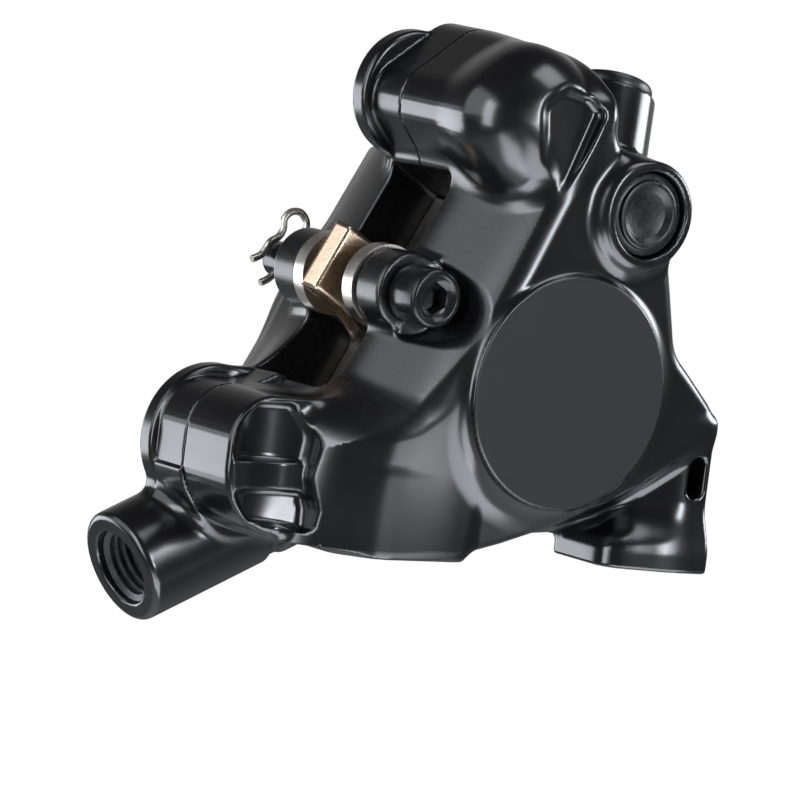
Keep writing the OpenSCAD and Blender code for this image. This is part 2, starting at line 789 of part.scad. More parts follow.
// Folded strip over the axle, with two legs that lean out to the pad plates
spring_ridge = axle_h + spring_rise;
spring_eave = spring_ridge - spring_roof;
spring_knee = axle_h + 1.5;
spring_foot = spring_eave - spring_leg;
spring_foot_half = seam - plate_in - 0.3;
function flipped(points) = [for (p = points) [-p.x, p.y]];
function reversed(points) = [for (i = [len(points) - 1 : -1 : 0]) points[i]];
module pad_spring() {
    side = [[spring_foot_half, spring_foot], [spring_half, spring_knee], [spring_half, spring_eave]];
    under = [for (p = side) p - [spring_t, 0]];
    color(bronze) difference() {
        translate([0, seam, 0])
            along_core(axle_x - spring_w / 2, axle_x + spring_w / 2)
                polygon(concat(
                    side, [[0, spring_ridge]], reversed(flipped(side)),
                    flipped(under), [[0, spring_ridge - spring_t]], reversed(under)
                ));
        at_core(axle_x, axle_h) rod_y(axle_d + 6 * fixed_fit, pocket_y, pocket_far);
    }
}

// Pad axle: long hexagon socket head, plain shaft, drilled tip
axle_head_y = pocket_y - near_boss_len;
far_boss_y = pocket_far + far_boss_len;
clip_y = far_boss_y + axle_tip - 1.6;
module pad_axle() {
    edge = 0.5;
    r = axle_head_d / 2;
    face = axle_head_y - axle_head_len;
    tip = far_boss_y + axle_tip;
    color(oxide) at_core(axle_x, axle_h) difference() {
        union() {
            turned_y([
                [0, face], [r - edge, face], [r, face + edge],
                [r, axle_head_y - fixed_fit], [0, axle_head_y - fixed_fit]
            ]);
            rod_y(axle_d, axle_head_y - past, tip - edge);
            rod_y(axle_d - 2 * edge, axle_head_y - past, tip);
        }
        hex_y(axle_hex, face - past, face + 3);
        rod([-axle_d, clip_y, 0], [axle_d, clip_y, 0], clip_wire + 2 * fixed_fit);
    }
}

// Split pin through the axle tip, with a loop and two legs bent apart
module axle_clip() {
    reach = axle_d / 2 + 0.4;
    loop_x = reach + clip_loop_r;
    color(silver) at_core(axle_x, axle_h) translate([0, clip_y, 0]) {
        rod([-reach - 0.2, 0, 0], [loop_x, 0, 0], clip_wire);
        translate([loop_x, 0, clip_loop_r * 0.6]) ring_y(clip_loop_r, clip_wire * 0.4);
        for (bend = [15, 60])
            rod([-reach, 0, 0], [-reach - clip_leg * cos(bend), 0, clip_leg * sin(bend)], clip_wire * 0.7);
    }
}

module bleed_nipple() {
    base = nipple_boss_len - nipple_cap_seat;
    color(oxide) difference() {
        rod(nipple_at(base), nipple_at(base + nipple_len), nipple_d);
        rod(nipple_at(base - past), nipple_at(base + nipple_len + past), bleed_bore_d);
    }
}

// Rubber cap: a rim that rests on the boss and a skirt around the nipple
module bleed_nipple_cap() {
    top = nipple_boss_len + nipple_cap_h;
    skirt_end = nipple_boss_len - nipple_cap_seat + 0.3;
    edge = 0.4;
    color(rubber) difference() {
        union() {
            rod(nipple_at(nipple_boss_len), nipple_at(top - edge), nipple_cap_d);
            rod(nipple_at(nipple_boss_len), nipple_at(top), nipple_cap_d - 2 * edge);
            rod(nipple_at(skirt_end), nipple_at(top - edge), nipple_skirt_d);
        }
        rod(
            nipple_at(skirt_end - past), nipple_at(nipple_boss_len + 0.3),
            nipple_skirt_d - 2 * nipple_cap_wall
        );
    }
}

valve_ring_y = valve_screw_y + valve_screw_len * 0.55;
valve_ring_cord = 0.6;
valve_ring_r = valve_screw_d / 2 - valve_ring_cord;
module valve_screw() {
    r = valve_screw_d / 2;
    groove = valve_ring_cord + 0.05;
    end_y = valve_screw_y + valve_screw_len;
    color(oxide) translate([valve_x, 0, valve_z]) difference() {
        turned_y([
            [0, valve_screw_y], [r, valve_screw_y],
            [r, valve_ring_y - groove], [valve_ring_r - groove, valve_ring_y - groove],
            [valve_ring_r - groove, valve_ring_y + groove], [r, valve_ring_y + groove],
            [r, end_y - 1], [r - 1, end_y], [0, end_y]
        ]);
        hex_y(valve_hex, valve_screw_y - past, valve_screw_y + 2.5);
    }
}
module valve_screw_seal() {
    color(rubber) translate([valve_x, valve_ring_y, valve_z]) ring_y(valve_ring_r, valve_ring_cord);
}

// Rubber cap with a raised ring around a flat centre
module valve_cap() {
    r = valve_cap_d / 2;
    ring_out = r * 0.82;
    ring_in = r * 0.6;
    dip = 0.5;
    edge = 0.3;
    y = valve_cap_y;
    end_y = valve_seat_y - fixed_fit;
    color(rubber) translate([valve_x, 0, valve_z]) turned_y([
        [0, y + dip], [ring_in, y + dip], [ring_in + edge, y], [ring_out - edge, y], [ring_out, y + dip],
        [r - edge, y + dip], [r, y + dip + edge], [r, end_y], [0, end_y]
    ]);
}

outboard_half();
inboard_half();
body_bolts();
crossover_seal();
outboard_piston();
inboard_piston();
outboard_piston_seal();
inboard_piston_seal();
outboard_pad_plate();
outboard_pad_lining();
inboard_pad_plate();
inboard_pad_lining();
pad_spring();
pad_axle();
axle_clip();
bleed_nipple();
bleed_nipple_cap();
valve_screw();
valve_screw_seal();
valve_cap();
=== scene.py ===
"""A flat mount disc brake caliper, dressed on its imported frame.

The two body halves are cast shapes, so each is written as a field of signed distance in millimetres and
skinned. The smaller pieces are turned, bent or swept in mesh code, and the rest are the frame's own solids.
"""

import math

import bpy
import numpy as np
from mathutils import Matrix, Vector


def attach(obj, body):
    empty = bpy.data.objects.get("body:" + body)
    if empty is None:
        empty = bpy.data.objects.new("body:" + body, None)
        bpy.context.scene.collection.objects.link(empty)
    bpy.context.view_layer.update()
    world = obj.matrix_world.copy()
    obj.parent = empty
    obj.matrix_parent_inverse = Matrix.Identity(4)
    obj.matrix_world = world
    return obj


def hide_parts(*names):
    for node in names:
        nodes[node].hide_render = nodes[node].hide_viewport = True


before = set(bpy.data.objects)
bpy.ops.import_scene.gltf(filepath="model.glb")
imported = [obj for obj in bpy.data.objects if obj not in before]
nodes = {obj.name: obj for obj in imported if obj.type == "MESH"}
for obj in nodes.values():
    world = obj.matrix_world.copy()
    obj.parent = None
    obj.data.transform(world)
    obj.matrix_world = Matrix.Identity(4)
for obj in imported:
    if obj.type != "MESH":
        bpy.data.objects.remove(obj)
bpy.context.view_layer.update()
MM = 0.001

# Planes and places, in millimetres, as in the part
SEAM = 9.5
SLOT_HALF = 2.2
FACE_Y = -10.0
BACK_Y = 29.0
DECK = 17.9
DECK_EDGE = -3.0
FAR_DECK_EDGE = 18.5
WINDOW = (-13.3, 14.7)
POCKET_HALF = 5.65
PISTON_R = 11.05
NEAR_PISTON = (-6.45, 6.0)
FAR_PISTON = (13.0, 25.45)
HOUSING_R = 12.85
LOBE_SEAT = 15.7
LEAN = math.radians(61.7)
CORE = (-1.3, 19.6)
ROTOR_Z = -69.0
ROTOR_R = 82.0
BOLT_X, BOLT_Z = 22.1, 20.4
BOLT_HOLE_R = 3.1
BOLT_HEAD_R = 5.5
FRAME_BOLTS = (-17.0, 17.0)
FRAME_HOLE_R = 2.1
AXLE = (0.2, 18.5)
AXLE_HOLE_R = 2.1
AXLE_BOSS_R = 4.3
VALVE = (6.3, 39.6)
VALVE_BOSS_R = 5.95
NIPPLE_ROOT = np.array([6.3, 0.5, 39.6])
NIPPLE_DIR = np.array([0.27, 0.32, 0.91]) / math.sqrt(0.27**2 + 0.32**2 + 0.91**2)
NIPPLE_LEN = 12.6
NIPPLE_BOSS_R = 5.35
BARREL_R = 6.4
BARREL_SLOPE = math.radians(25.5)
BARREL_DIR = np.array([-math.cos(BARREL_SLOPE), 0.0, -math.sin(BARREL_SLOPE)])


def core(x, z):
    """A place in the caliper's leaning frame, as upright X and Z."""
    return (
        CORE[0] + x * math.cos(LEAN) - z * math.sin(LEAN),
        CORE[1] + x * math.sin(LEAN) + z * math.cos(LEAN),
    )


LOW_BOLT = core(-BOLT_X, BOLT_Z)
BARREL_MOUTH = np.array([LOW_BOLT[0] - 9.7, 16.0, LOW_BOLT[1] - 15.1])


# Fields of signed distance
def leaned(x, z):
    """Upright X and Z, in the caliper's leaning frame."""
    dx, dz = x - CORE[0], z - CORE[1]
    return dx * math.cos(LEAN) + dz * math.sin(LEAN), dz * math.cos(LEAN) - dx * math.sin(LEAN)


def union(a, b, r=0.0):
    """Both solids, with a hollow fillet of radius r where they meet."""
    if np.ndim(r) == 0 and not r:
        return np.minimum(a, b)
    return np.maximum(r, np.minimum(a, b)) - np.hypot(np.maximum(r - a, 0), np.maximum(r - b, 0))


def meet(a, b, r=0.0):
    """What lies in both, with its edges rounded to radius r."""
    if np.ndim(r) == 0 and not r:
        return np.maximum(a, b)
    return np.minimum(-r, np.maximum(a, b)) + np.hypot(np.maximum(r + a, 0), np.maximum(r + b, 0))


def cut(a, b, r=0.0):
    """The first solid less the second, with the cut's edges rounded to radius r."""
    return meet(a, -b, r)


def band(v, low, high):
    """The slab between two values."""
    return np.maximum(low - v, v - high)


def tube(x, y, z, start, direction, r):
    """An endless rod, and the distance along it."""
    dx, dy, dz = x - start[0], y - start[1], z - start[2]
    along = dx * direction[0] + dy * direction[1] + dz * direction[2]
    square = dx * dx + dy * dy + dz * dz - along * along
    return np.sqrt(np.maximum(square, 1e-9)) - r, along


def rounded(corners):
    """The outline through [x, z, radius] corners, with an arc at each."""
    points = []
    count = len(corners)
    for i, corner in enumerate(corners):
        r = corner[2]
        a, b, c = (np.array(corners[(i + k) % count][:2]) for k in (-1, 0, 1))
        into, out = (b - a) / np.linalg.norm(b - a), (c - b) / np.linalg.norm(c - b)
        turn = math.atan2(into[0] * out[1] - into[1] * out[0], into @ out)
        if r == 0 or abs(turn) < 1e-4:
            points.append(b)
            continue
        start = b - into * r * math.tan(abs(turn) / 2)
        side = math.copysign(1, turn)
        steps = 3 + int(5 * math.sqrt(r))
        centre = start + side * r * np.array([-into[1], into[0]])
        for k in range(steps + 1):
            t = turn * k / steps
            v = start - centre
            points.append(centre + [
                v[0] * math.cos(t) - v[1] * math.sin(t),
                v[0] * math.sin(t) + v[1] * math.cos(t),
            ])
    return np.array(points)


def outline(u, v, points):
    """Signed distance to a closed outline."""
    best, sign = None, None
    for a, b in zip(points, np.roll(points, 1, axis=0)):
        ex, ez = b - a
        if ex * ex + ez * ez < 1e-10:
            continue
        wx, wz = u - a[0], v - a[1]
        t = np.clip((wx * ex + wz * ez) / (ex * ex + ez * ez), 0, 1)
        d = (wx - ex * t) ** 2 + (wz - ez * t) ** 2
        up, down, left = v >= a[1], v < b[1], ex * wz > ez * wx
        flip = np.where((up & down & left) | ~(up | down | left), -1.0, 1.0)
        best = d if best is None else np.minimum(best, d)
        sign = flip if sign is None else sign * flip
    return (sign * np.sqrt(best)).astype(np.float32)


UPPER_LOBE = rounded([
    (12.5, 4.0, 0), (15.0, 17.9, 0.5), (18.7, 27.5, 4.2), (31.9, 21.3, 4.5), (31.6, 13.6, 4.0),
    (25.4, 7.0, 2.0),
])
LOWER_LOBE = rounded([
    (-16.0, 16.3, 0), (-37.5, 16.4, 5.5), (-37.5, 1.1, 7.6), (-16.0, 1.1, 0),
])
POCKET_RIM = rounded([
    (-29.8, 15.6, 1.5), (-34.0, 15.6, 1.5), (-37.1, 13.4, 4.0), (-37.1, 5.6, 4.0), (-34.0, 2.7, 2.0),
    (-27.4, 2.0, 0.8), (-27.2, 4.4, 0.8), (-28.1, 8.0, 3.0), (-27.6, 12.6, 3.0),
])
RIGHT_SIDE = rounded([
    (-70.0, 90.0, 0), (core(31.9, 26)[0], core(31.9, 26)[1], 0),
    (core(31.9, 13)[0], core(31.9, 13)[1], 4.0), (core(25.9, 10.2)[0], core(25.9, 10.2)[1], 2.5),
    (VALVE[0] + 1.5, VALVE[1] + 4.0, 1.0), (VALVE[0] + 4.9, VALVE[1] - 4.4, 1.0), (14.0, 24.4, 5.0),
    (22.3, 17.8, 4.5), (22.0, -30.0, 0), (-70.0, -30.0, 0),
])
SKIRT_X = [-30.0, -11.1, -5.0, 0.3, 4.2, 8.1, 11.9, 16.7, 21.4, 30.0]
SKIRT_Z = [0.2, 0.6, 2.5, 4.5, 6.1, 7.8, 10.0, 12.9, 15.8, 21.0]


def pad_pocket(lx, lz, y):
    """Room for the pads, from the deck down to the chamfered foot of their plates."""
    shape = rounded([
        (WINDOW[0], 60.0, 0), (WINDOW[0], -5.1, 2.0), (-7.0, -11.7, 3.0), (8.4, -11.7, 3.0),
        (WINDOW[1], -5.1, 2.0), (WINDOW[1], 60.0, 0),
    ])
    return meet(outline(lx, lz, shape), band(y, SEAM - POCKET_HALF, SEAM + POCKET_HALF), 0.6)


def rotor_room(lx, lz, y):
    """The rotor's slot, as deep as the rotor's edge."""
    return meet(np.hypot(lx, lz - ROTOR_Z) - ROTOR_R, band(y, SEAM - SLOT_HALF, SEAM + SLOT_HALF))


def front_of(x, y, z, lx):
    """The near side, leaning out above the foot, then along the ridge, and back towards the rear post."""
    lower_front = (-5.8 - 0.169 * z - y) / 1.014
    left_front = -0.19 * (x + 24.0) - 0.97 * (y + 5.2) - 0.14 * z
    ridge_front = -9.45 + 0.04 * (lx - 6.0) - y
    rear_front = (-9.5 + 0.25 * (x - 11.5) - y) / 1.03
    return meet(meet(meet(lower_front, left_front, 1.5), ridge_front, 2.0), rear_front, 2.0)


def outboard(x, y, z):
    """The near half: deck, ridge, lobes, round housing, feet and bosses, less what they make room for."""
    lx, lz = leaned(x, z)
    # Deck and the slope down to the long ridge, running over into the top of the lower lobe
    slope = ((lz - DECK) * 6.5 - (y - DECK_EDGE) * 5.1) / 8.26
    deck = meet(lz - DECK, slope, 4.0)
    lobe_slope = ((z - 16.2) * 8.0 - (y - 0.2) * 3.1) / 8.58
    lobe_top = meet(z - 16.2, lobe_slope, 1.0)
    top = union(deck, lobe_top, 5.0)
    front = front_of(x, y, z, lx)
    block = meet(top, front, 1.2 + 1.3 * np.clip((-lx - 3.0) / 10.0, 0.0, 1.0))
    flank = -0.85 * (x + 25.0) - 0.527 * (y + 6.5)
    block = meet(block, flank, 5.0)
    block = meet(block, meet(-37.2 - x, 0.6 - z, 7.6))
    block = meet(block, outline(x, z, RIGHT_SIDE), 1.5)
    upper_end = ((lx - 31.9) * 5.5 - (y + 3.0) * 2.3) / 5.96
    block = meet(block, upper_end, 2.0)
    # Lower lobe
    lobe = meet(outline(x, z, LOWER_LOBE), 0.6 - y, 0.8)
    body = union(block, lobe, 1.2)
    # Upper lobe with its rounded end
    end = meet(outline(lx, lz, UPPER_LOBE), -7.0 - y, 5.0)
    end = meet(end, (lx - 31.6 - (y - 1.0) * 0.35) / 1.06, 3.0)
    dome_x, dome_y, dome_z = (lx - 23.0) / 7.5, (y + 2.4) / 6.2, (lz - 17.4) / 7.3
    dome = (np.sqrt(dome_x**2 + dome_y**2 + dome_z**2) - 1.0) * 7.0
    body = union(union(body, end, 2.6), dome, 3.5)
    # Hollow under the housing
    skirt = np.interp(x, SKIRT_X, SKIRT_Z).astype(np.float32)
    web = 0.6 + 0.07 * (x + 10.0)
    share = np.clip((y + 8.0) / 13.5, 0.0, 1.0)
    body = meet(body, (skirt + (web - skirt) * share - z) / 1.15, 0.6)
    # Round piston housing with its flat face
    ring = np.hypot(lx, lz)
    rise = front_of(x, FACE_Y, z, lx)
    body = union(body, meet(ring - HOUSING_R, FACE_Y - y, 0.25), np.clip(0.85 * rise, 0.3, 4.0))
    # Feet
    foot = outline(x, y, rounded([
        (-24.9, 12.0, 0), (-24.9, -2.4, 3.0), (-21.0, -5.9, 4.0), (-9.2, -5.9, 1.2), (-9.2, 12.0, 0),
    ]))
    body = union(body, meet(foot, z - 11.0, 2.0), 1.5)
    rear_foot = outline(x, y, rounded([
        (9.9, 3.6, 0.5), (9.9, -5.6, 2.5), (16.0, -6.8, 8.0), (30.0, -6.8, 0), (30.0, 3.6, 0),
    ]))
    post = outline(x, y, rounded([
        (13.0, 12.0, 0), (13.0, -3.6, 3.0), (18.6, -6.8, 6.0), (30.0, -7.0, 0), (30.0, 12.0, 0),
    ]))
    rear = union(meet(rear_foot, z - 3.0, 1.2), meet(post, z - 17.0, 0.5), 5.0)
    body = union(body, meet(meet(rear, x - 22.2, 0.6), z - 17.0), 1.5)
    body = meet(body, -z, 0.4)
    # Valve boss and nipple boss
    valve = np.hypot(x - VALVE[0], z - VALVE[1])
    body = union(body, meet(valve - VALVE_BOSS_R, band(y, -10.2, 4.0), 0.5), 2.2)
    nipple, along = tube(x, y, z, NIPPLE_ROOT, NIPPLE_DIR, NIPPLE_BOSS_R)
    body = union(body, meet(nipple, band(along, -1.0, NIPPLE_LEN), 0.3), 1.2)
    # Axle boss, and the hollow round the axle's head
    axle = np.hypot(lx - AXLE[0], lz - AXLE[1])
    body = union(body, meet(axle - AXLE_BOSS_R, band(y, -0.85, 3.85), 0.4), 1.6)
    body = cut(body, meet(axle - 4.8, y + 0.85, 0.4), 0.7)
    # Triangular pocket beside the ridge
    pocket = outline(lx, lz, rounded([
        (24.0, 20.6, 1.8), (26.8, 19.0, 1.6), (27.9, 15.6, 1.2), (27.4, 13.4, 0.8), (16.4, 13.2, 0.6),
        (19.2, 17.6, 4.0),
    ]))
    soft = 0.4 + 0.9 * np.clip((lz - 14.5) / 3.0, 0.0, 1.0)
    body = cut(body, meet(pocket, y + 8.5 - 0.15 * (lx - 18.0), 0.9), soft)
    # Pockets in the near end of the lower lobe, with a rib between
    rim = outline(x, z, POCKET_RIM)
    reach = np.maximum(y + 3.4, 0)
    body = cut(body, meet(rim, np.hypot((x + 31.8) / 1.4, reach) - 4.2, 0.5), 0.4)
    body = cut(body, meet(meet(rim, np.hypot((x + 33.2) / 1.24, reach) - 5.6, 0.8), 9.2 - z, 0.8), 0.3)
    facet = 0.21 * (x + 29.0) + 0.96 * (y - 1.0) - 0.19 * (z - 3.8)
    hollow = meet(np.hypot((x + 31.0) / 1.57, reach) - 5.4, facet, 0.8)
    body = cut(body, meet(meet(rim, hollow, 0.8), z - 6.2, 0.8), 0.3)
    # Room for the pads, the rotor, the piston, the axle, the valve, the nipple and the bolts
    body = cut(body, pad_pocket(lx, lz, y), 0.45)
    body = cut(body, rotor_room(lx, lz, y), 0.25)
    body = cut(body, meet(ring - PISTON_R, band(y, *NEAR_PISTON)))
    body = cut(body, axle - AXLE_HOLE_R)
    body = cut(body, meet(valve - 4.8, y + 7.7), 0.25)
    body = cut(body, meet(valve - 3.05, y - 0.2))
    body = cut(body, meet(nipple + 1.15, NIPPLE_LEN - 4.4 - along), 0.2)
    for bolt_x in FRAME_BOLTS:
        body = cut(body, meet(np.hypot(x - bolt_x, y) - FRAME_HOLE_R, z - 11.0), 0.3)
    slot = np.hypot(x - 20.3, np.maximum(np.abs(z - 10.5) - 1.3, 0)) - 1.0
    body = cut(body, slot, 0.4)
    return meet(body, y - SEAM, 0.2)


def inboard(x, y, z):
    """The far half: deck, lobes with collars, web, housing and hose barrel, less what they make room for."""
    lx, lz = leaned(x, z)
    ring = np.hypot(lx, lz)
    # Deck and its slope to the back, over the housing
    slope = ((lz - DECK) * 10.0 + (y - FAR_DECK_EDGE) * 4.9) / 11.14
    deck = meet(lz - DECK, slope, 3.0)
    deck = meet(deck, band(lx, -14.9, 18.2), 1.0)
    deck = meet(deck, y - 28.5 + (13.0 - lz) / 13.0, 1.0)
    deck = meet(deck, -2.0 - lz, 1.0)
    # Bolt lobes with their collars
    upper = outline(lx, lz, UPPER_LOBE)
    lower = outline(x, z, LOWER_LOBE)
    seat = y - LOBE_SEAT
    collar_run = band(y, 14.6, 17.2)
    upper_collar = np.hypot(lx - BOLT_X, lz - BOLT_Z) - 7.1
    lower_collar = np.hypot(x + 30.1, z - 9.5) - 8.2
    upper_end = union(meet(upper, seat, 0.4), meet(upper_collar, collar_run, 0.6), 0.3)
    lower_end = union(meet(lower, seat, 0.4), meet(lower_collar, collar_run, 0.6), 0.3)
    body = union(deck, upper_end, 2.6)
    body = union(body, meet(lower_end, x + 20.0, 2.0), 8.0)
    # Web behind the rotor, and the round housing
    web = outline(lx, lz, rounded([
        (-24.0, 14.0, 3.0), (-22.1, 3.5, 3.0), (-16.4, -8.0, 6.0), (-9.0, -15.6, 6.0), (9.0, -15.6, 6.0),
        (16.4, -8.0, 6.0), (22.1, 3.5, 6.0), (31.0, 9.0, 4.0), (31.0, 15.0, 2.0),
    ]))
    body = union(body, meet(web, seat, 0.6), 1.5)
    body = union(body, meet(ring - 15.5, y - 24.5, 1.0), 2.0)
    body = union(body, meet(ring - HOUSING_R, y - BACK_Y, 0.3), 3.0)
    # Hose barrel
    barrel, along = tube(x, y, z, BARREL_MOUTH, -BARREL_DIR, BARREL_R)
    root = meet(meet(lower - 0.35, band(y, 8.0, 15.2), 0.5), z - 7.0, 0.4)
    body = union(body, meet(root, x + 24.0), 0.2)
    groove = meet(-0.4 - barrel, band(along, 16.2, 18.8), 0.2)
    body = union(body, cut(meet(barrel, band(along, 0.0, 32.0), 0.8), groove, 0.3), 2.2)
    # Axle boss
    axle = np.hypot(lx - AXLE[0], lz - AXLE[1])
    body = union(body, meet(axle - AXLE_BOSS_R, band(y, 15.15, 19.55), 0.4), 2.0)
    # Room for the pads, the rotor, the piston, the axle, the bolt heads and the hose
    body = cut(body, pad_pocket(lx, lz, y), 0.45)
    body = cut(body, rotor_room(lx, lz, y), 0.25)
    body = cut(body, meet(ring - PISTON_R, band(y, *FAR_PISTON)))
    body = cut(body, axle - AXLE_HOLE_R)
    for side in (1, -1):
        bolt = np.hypot(lx - side * BOLT_X, lz - BOLT_Z)
        body = cut(body, meet(bolt - BOLT_HEAD_R, 16.5 - y), 0.3)
        body = cut(body, bolt - BOLT_HOLE_R)
    body = cut(body, meet(barrel + 2.15, along - 13.0), 0.3)
    return meet(body, SEAM - y, 0.2)


EDGES = [
    (a, b)
    for a in np.ndindex(2, 2, 2)
    for b in np.ndindex(2, 2, 2)
    if sum(b) - sum(a) == 1 and all(q >= p for p, q in zip(a, b))
]


def in_parts(work, values, parts=6):
    """Work done on values in parts small enough to stay quick, and joined again."""
    return np.concatenate([work(some) for some in np.array_split(values, parts)])


def slope_of(field, points, reach):
    """The field's gradient at points."""
    def part(some):
        out = np.empty_like(some)
        for k in range(3):
            shift = np.zeros(3, np.float32)
            shift[k] = reach
            out[:, k] = (field(*(some + shift).T) - field(*(some - shift).T)) / (2 * reach)
        return out
    return in_parts(part, points)


def skin(name, field, low, high, step):
    """A mesh on the field's zero surface, one corner for each cell of a grid that the surface crosses."""
    axes = [np.arange(low[k], high[k] + step, step, dtype=np.float32) for k in range(3)]
    d = in_parts(lambda some: field(*np.ix_(some, *axes[1:])), axes[0])
    inside = d < 0
    parts = [
        inside[a:a + d.shape[0] - 1, b:b + d.shape[1] - 1, c:c + d.shape[2] - 1]
        for a, b, c in np.ndindex(2, 2, 2)
    ]
    full, some = parts[0].copy(), parts[0].copy()
    for part in parts[1:]:
        full &= part
        some |= part
    mixed = some & ~full
    cells = np.argwhere(mixed)
    total, count = np.zeros((len(cells), 3)), np.zeros(len(cells))
    for a, b in EDGES:
        at, to = (cells + a).T, (cells + b).T
        da, db = d[tuple(at)].astype(float), d[tuple(to)].astype(float)
        crosses = (da < 0) != (db < 0)
        t = np.where(crosses, da / np.where(crosses, da - db, 1), 0)
        total += np.where(crosses[:, None], np.array(a) + t[:, None] * (np.array(b) - a), 0)
        count += crosses
    points = ((cells + total / count[:, None]) * step + [ax[0] for ax in axes]).astype(np.float32)
    # One step along the gradient brings the corners onto the surface
    g = slope_of(field, points, 0.02)
    size = np.maximum((g * g).sum(1), 0.25)
    move = -(in_parts(lambda some: field(*some.T), points) / size)[:, None] * g
    points += np.clip(move, -0.4 * step, 0.4 * step)
    ids = np.full(mixed.shape, -1, np.int32)
    ids[mixed] = np.arange(len(cells))
    faces = []
    for k in range(3):
        near = [slice(None)] * 3
        far = [slice(None)] * 3
        near[k], far[k] = slice(None, -1), slice(1, None)
        first, second = inside[tuple(near)], inside[tuple(far)]
        p, q = [i for i in range(3) if i != k]
        edge = np.argwhere(first != second)
        within = (edge[:, p] > 0) & (edge[:, q] > 0)
        edge = edge[within & (edge[:, p] < d.shape[p] - 1) & (edge[:, q] < d.shape[q] - 1)]
        outward = first[tuple(edge.T)]
        ring = []
        for dp, dq in ((1, 1), (0, 1), (0, 0), (1, 0)):
            cell = edge.copy()
            cell[:, p] -= dp
            cell[:, q] -= dq
            ring.append(ids[tuple(cell.T)])
        quad = np.stack(ring, 1)
        flip = outward if k != 1 else ~outward
        quad[~flip] = quad[~flip][:, ::-1]
        faces.append(quad)
    faces = np.concatenate(faces)
    mesh = bpy.data.meshes.new(name)
    mesh.vertices.add(len(points))
    mesh.vertices.foreach_set("co", (points * MM).astype(np.float32).ravel())
    mesh.loops.add(len(faces) * 4)
    mesh.loops.foreach_set("vertex_index", faces.astype(np.int32).ravel())
    mesh.polygons.add(len(faces))
    mesh.polygons.foreach_set("loop_start", np.arange(0, len(faces) * 4, 4, dtype=np.int32))
    mesh.update(calc_edges=True)
    mesh.validate()
    normals = slope_of(field, points, 0.06)
    normals /= np.maximum(np.linalg.norm(normals, axis=1), 1e-6)[:, None]
    mesh.normals_split_custom_set_from_vertices(normals.astype(np.float32).tolist())
    made = bpy.data.objects.new(name, mesh)
    bpy.context.scene.collection.objects.link(made)
    return made


STEP = 0.3
near_half = skin("outboard_body", outboard, (-39, -11.2, -1.2), (24, 10.1, 59), STEP)
far_half = skin("inboard_body", inboard, (-44, 8.9, -12.5), (24, 30, 57), STEP)
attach(near_half, "body")
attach(far_half, "body")
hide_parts("outboard_half")
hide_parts("inboard_half")


# Turned, bent and swept pieces, written in millimetres
def piece(name, points, faces, body, node, slot, smooth=35):
    """A mesh piece that rides on a body and stands for a node where there is one; the slot it is given is not
    used.
    """
    mesh = bpy.data.meshes.new(name)
    mesh.from_pydata([tuple(np.asarray(p) * MM) for p in points], [], faces)
    mesh.validate()
    mesh.polygons.foreach_set("use_smooth", [True] * len(mesh.polygons))
    mesh.set_sharp_from_angle(angle=math.radians(smooth))
    made = bpy.data.objects.new(name, mesh)
    bpy.context.scene.collection.objects.link(made)
    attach(made, body)
    if node:
        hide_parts(node)
    return made


def square_axes(axis):
    """Two directions square to an axis and to each other."""
    axis = np.asarray(axis, float)
    side = np.cross(axis, (0, 0, 1) if abs(axis[2]) < 0.9 else (1, 0, 0))
    side /= np.linalg.norm(side)
    return side, np.cross(axis, side)


def hexagon(size):
    """The radius of a hexagon of a size across flats, by angle."""
    return lambda angle: size / 2 / math.cos((angle + math.pi / 6) % (math.pi / 3) - math.pi / 6)


def turned(profile, start, axis, sides=96):
    """Points and faces of a profile of [radius, place along the axis] turned round the axis.

    A radius may be a function of the angle.
    """
    side, over = square_axes(axis)
    start, axis = np.asarray(start, float), np.asarray(axis, float)
    points, faces, rings = [], [], []
    for radius, along in profile:
        middle = start + axis * along
        if not callable(radius) and radius == 0:
            rings.append([len(points)] * sides)
            points.append(middle)
            continue
        rings.append(list(range(len(points), len(points) + sides)))
        for k in range(sides):
            angle = 2 * math.pi * k / sides
            r = radius(angle) if callable(radius) else radius
            points.append(middle + r * (math.cos(angle) * side + math.sin(angle) * over))
    for first, second in zip(rings, rings[1:]):
        for k in range(sides):
            n = (k + 1) % sides
            face = list(dict.fromkeys((first[k], first[n], second[n], second[k])))
            if len(face) > 2:
                faces.append(face)
    return points, faces


def smooth_path(points, steps):
    """A curve through points, as a Catmull-Rom spline."""
    points = np.asarray(points, float)
    ends = np.vstack([2 * points[0] - points[1], points, 2 * points[-1] - points[-2]])
    t = np.linspace(0, 1, steps, endpoint=False)[:, None]
    path = [
        0.5 * (2 * b + (c - a) * t + (2 * a - 5 * b + 4 * c - d) * t**2 + (3 * b - a - 3 * c + d) * t**3)
        for a, b, c, d in zip(ends, ends[1:], ends[2:], ends[3:])
    ]
    return np.vstack(path + [points[-1:]])


def swept(path, section):
    """Points and faces of a closed section of [side, up] run along a path, with flat ends."""
    way = np.gradient(path, axis=0)
    way /= np.linalg.norm(way, axis=1)[:, None]
    side = square_axes(way[0])[0]
    points, count = [], len(section)
    for place, ahead in zip(path, way):
        side = side - ahead * (side @ ahead)
        side /= np.linalg.norm(side)
        over = np.cross(ahead, side)
        points += [place + a * side + b * over for a, b in section]
    faces = [
        (i * count + k, i * count + (k + 1) % count, (i + 1) * count + (k + 1) % count, (i + 1) * count + k)
        for i in range(len(path) - 1) for k in range(count)
    ]
    return points, faces + [tuple(range(count))[::-1], tuple(range(len(points) - count, len(points)))]


def circle(r, sides=16):
    """A round section for swept()."""
    angles = [2 * math.pi * k / sides for k in range(sides)]
    return [(r * math.cos(a), r * math.sin(a)) for a in angles]


def at_core(x, y, z):
    """A point of the leaning frame, in the upright one."""
    upright = core(x, z)
    return np.array([upright[0], y, upright[1]])


